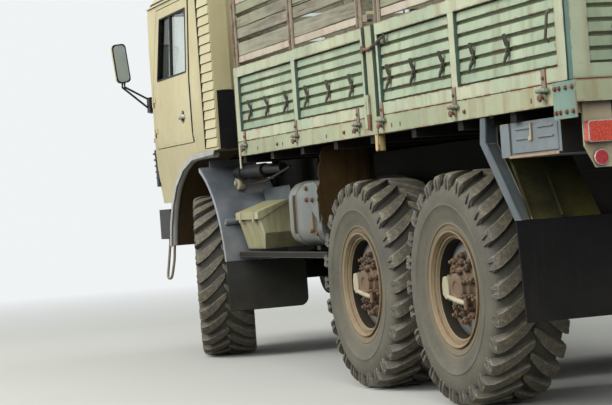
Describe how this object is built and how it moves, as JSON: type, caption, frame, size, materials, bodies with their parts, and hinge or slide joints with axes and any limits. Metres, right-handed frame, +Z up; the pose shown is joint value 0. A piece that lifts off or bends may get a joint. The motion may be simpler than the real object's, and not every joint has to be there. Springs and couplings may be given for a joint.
{
  "type": "military cargo truck",
  "caption": "Three-axle military cargo truck with a tilting cab over the engine, drop-side bed with slatted racks, opening doors, steered front wheels and rolling wheels.",
  "frame": {"origin": "on the ground, midway between the front of the bumper and the back of the tow hitch, on the centre line", "axes": "+X forward, +Y to the left side, +Z up"},
  "size_m": [7.65, 2.973, 2.88],
  "materials": {
    "chassis_black": "worn black paint with dust and rust",
    "grey_paint": "faded grey paint with dust",
    "black_paint": "semi-gloss black paint",
    "flap_rubber": "matt black rubber",
    "board_brown": "rusty brown sheet",
    "lamp_lens": "glossy red-orange lens",
    "bed_green": "faded pale green paint, rust at edges",
    "rack_wood": "weathered grey planks",
    "cab_khaki": "matt khaki paint",
    "mirror_housing": "dark khaki paint",
    "fender_grey": "faded grey plastic and steel",
    "window_glass": "clear tinted glass",
    "seat_cloth": "dark woven seat cloth",
    "trim_plastic": "dark grained plastic",
    "tyre_rubber": "dusty rubber",
    "rim_steel": "rusty tan paint"
  },
  "bodies": {
    "chassis": {"frame_rails": "chassis_black", "front_bumper": "chassis_black", "cab_steps": "chassis_black", "lamps": "lamp_lens", "engine": "grey_paint", "propshafts": "chassis_black", "front_axle": "chassis_black", "rear_axles": "chassis_black", "leaf_springs": "chassis_black", "spare_tyre": "tyre_rubber", "spare_rim": "rim_steel", "spare_carrier": "chassis_black", "fuel_tanks": "grey_paint", "battery_box": "grey_paint", "air_pipes": "black_paint", "mudguards": "black_paint", "mudflaps": "flap_rubber", "guard_boards": "board_brown", "toolbox": "grey_paint", "tow_hitch": "chassis_black", "bed_frame": "bed_green", "bed_floor": "rack_wood", "headboard": "bed_green"},
    "cab": {"cab_shell": "cab_khaki", "cab_glass": "window_glass", "front_grille": "black_paint", "front_fenders": "fender_grey", "intake_duct": "cab_khaki", "mirrors": "mirror_housing", "seats": "seat_cloth", "dashboard": "trim_plastic"},
    "door_left": {"door_left": "cab_khaki", "door_glass_left": "window_glass"},
    "door_right": {"door_right": "cab_khaki", "door_glass_right": "window_glass"},
    "knuckle_left": {"knuckle_left": "chassis_black"},
    "knuckle_right": {"knuckle_right": "chassis_black"},
    "wheel_front_left": {"tyre_front_left": "tyre_rubber", "rim_front_left": "rim_steel"},
    "wheel_front_right": {"tyre_front_right": "tyre_rubber", "rim_front_right": "rim_steel"},
    "wheel_middle_left": {"tyre_middle_left": "tyre_rubber", "rim_middle_left": "rim_steel"},
    "wheel_middle_right": {"tyre_middle_right": "tyre_rubber", "rim_middle_right": "rim_steel"},
    "wheel_rear_left": {"tyre_rear_left": "tyre_rubber", "rim_rear_left": "rim_steel"},
    "wheel_rear_right": {"tyre_rear_right": "tyre_rubber", "rim_rear_right": "rim_steel"},
    "side_left_front": {"board_left_front": "bed_green", "rack_left_front": "rack_wood"},
    "side_right_front": {"board_right_front": "bed_green", "rack_right_front": "rack_wood"},
    "side_left_rear": {"board_left_rear": "bed_green", "rack_left_rear": "rack_wood"},
    "side_right_rear": {"board_right_rear": "bed_green", "rack_right_rear": "rack_wood"},
    "tailgate": {"tailgate": "bed_green"}
  },
  "joints": [
    {"name": "cab_tilt", "type": "hinge", "parent": "chassis", "child": "cab", "pos_m": [3.545, 0, 1.16], "axis": [0, 1, 0], "range_deg": [0, 42]},
    {"name": "door_left_hinge", "type": "hinge", "parent": "cab", "child": "door_left", "pos_m": [3.368, 1.249, 2], "axis": [0, 0, -1], "range_deg": [0, 70]},
    {"name": "door_right_hinge", "type": "hinge", "parent": "cab", "child": "door_right", "pos_m": [3.368, -1.249, 2], "axis": [0, 0, 1], "range_deg": [0, 70]},
    {"name": "steer_left", "type": "hinge", "parent": "chassis", "child": "knuckle_left", "pos_m": [2.505, 0.8, 0.6], "axis": [0, 0, 1], "range_deg": [-13, 47]},
    {"name": "steer_right", "type": "hinge", "parent": "chassis", "child": "knuckle_right", "pos_m": [2.505, -0.8, 0.6], "axis": [0, 0, 1], "range_deg": [-13, 47]},
    {"name": "wheel_front_left_spin", "type": "hinge", "parent": "knuckle_left", "child": "wheel_front_left", "pos_m": [2.56494, 0.99604, 0.6], "axis": [0.2924, 0.9563, 0], "continuous": true},
    {"name": "wheel_front_right_spin", "type": "hinge", "parent": "knuckle_right", "child": "wheel_front_right", "pos_m": [2.44506, -0.99604, 0.6], "axis": [0.2924, 0.9563, 0], "continuous": true},
    {"name": "wheel_middle_left_spin", "type": "hinge", "parent": "chassis", "child": "wheel_middle_left", "pos_m": [-0.835, 1.005, 0.6], "axis": [0, 1, 0], "continuous": true},
    {"name": "wheel_middle_right_spin", "type": "hinge", "parent": "chassis", "child": "wheel_middle_right", "pos_m": [-0.835, -1.005, 0.6], "axis": [0, 1, 0], "continuous": true},
    {"name": "wheel_rear_left_spin", "type": "hinge", "parent": "chassis", "child": "wheel_rear_left", "pos_m": [-2.155, 1.005, 0.6], "axis": [0, 1, 0], "continuous": true},
    {"name": "wheel_rear_right_spin", "type": "hinge", "parent": "chassis", "child": "wheel_rear_right", "pos_m": [-2.155, -1.005, 0.6], "axis": [0, 1, 0], "continuous": true},
    {"name": "side_left_front_drop", "type": "hinge", "parent": "chassis", "child": "side_left_front", "pos_m": [-0.08, 1.268, 1.505], "axis": [-1, 0, 0], "range_deg": [0, 180]},
    {"name": "side_right_front_drop", "type": "hinge", "parent": "chassis", "child": "side_right_front", "pos_m": [-0.08, -1.268, 1.505], "axis": [1, 0, 0], "range_deg": [0, 180]},
    {"name": "side_left_rear_drop", "type": "hinge", "parent": "chassis", "child": "side_left_rear", "pos_m": [-2.6, 1.268, 1.505], "axis": [-1, 0, 0], "range_deg": [0, 180]},
    {"name": "side_right_rear_drop", "type": "hinge", "parent": "chassis", "child": "side_right_rear", "pos_m": [-2.6, -1.268, 1.505], "axis": [1, 0, 0], "range_deg": [0, 180]},
    {"name": "tailgate_drop", "type": "hinge", "parent": "chassis", "child": "tailgate", "pos_m": [-3.8, 0, 1.505], "axis": [0, -1, 0], "range_deg": [0, 180]}
  ],
  "couplings": [
    {"joint": "steer_right", "follows": "steer_left", "ratio": 1}
  ]
}
